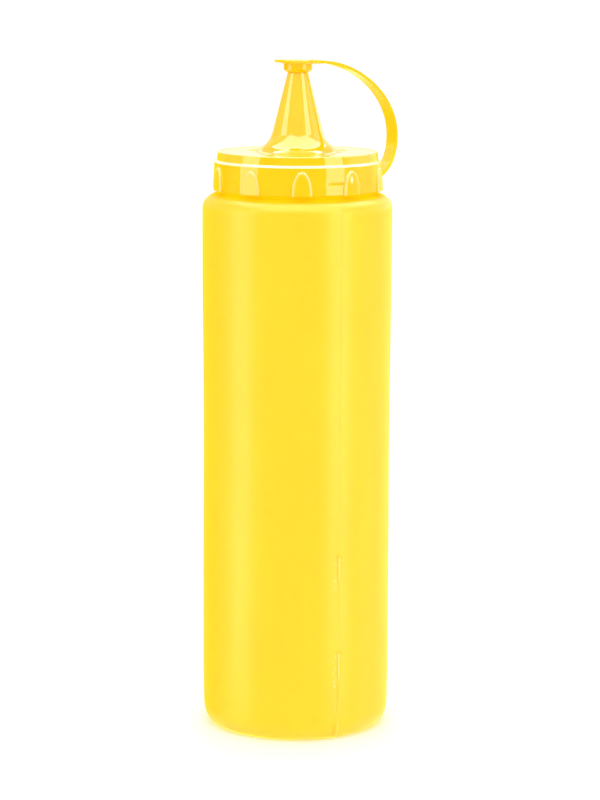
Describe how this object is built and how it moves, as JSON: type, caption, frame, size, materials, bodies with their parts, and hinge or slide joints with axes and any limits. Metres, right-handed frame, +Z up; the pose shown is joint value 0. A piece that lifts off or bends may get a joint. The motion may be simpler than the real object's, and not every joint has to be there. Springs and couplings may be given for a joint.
{
  "type": "sauce squeeze bottle",
  "caption": "Yellow wide-mouth plastic squeeze bottle for sauce, with a screw lid, a conical nozzle and a tip cap held on a curved strap.",
  "frame": {"origin": "on the bottle's axis, in the plane of the foot ring that it stands on", "axes": "+Z runs up the bottle's axis, +X points to the side of the lid where the strap rises, and the strap's middle plane is XZ"},
  "size_m": [0.0734, 0.07, 0.2498],
  "materials": {
    "bottle_plastic": "satin yellow polyethylene with faint upright flow lines",
    "lid_plastic": "glossy warm yellow moulded plastic"
  },
  "bodies": {
    "root": {"bottle": "bottle_plastic", "lid": "lid_plastic"}
  },
  "joints": []
}
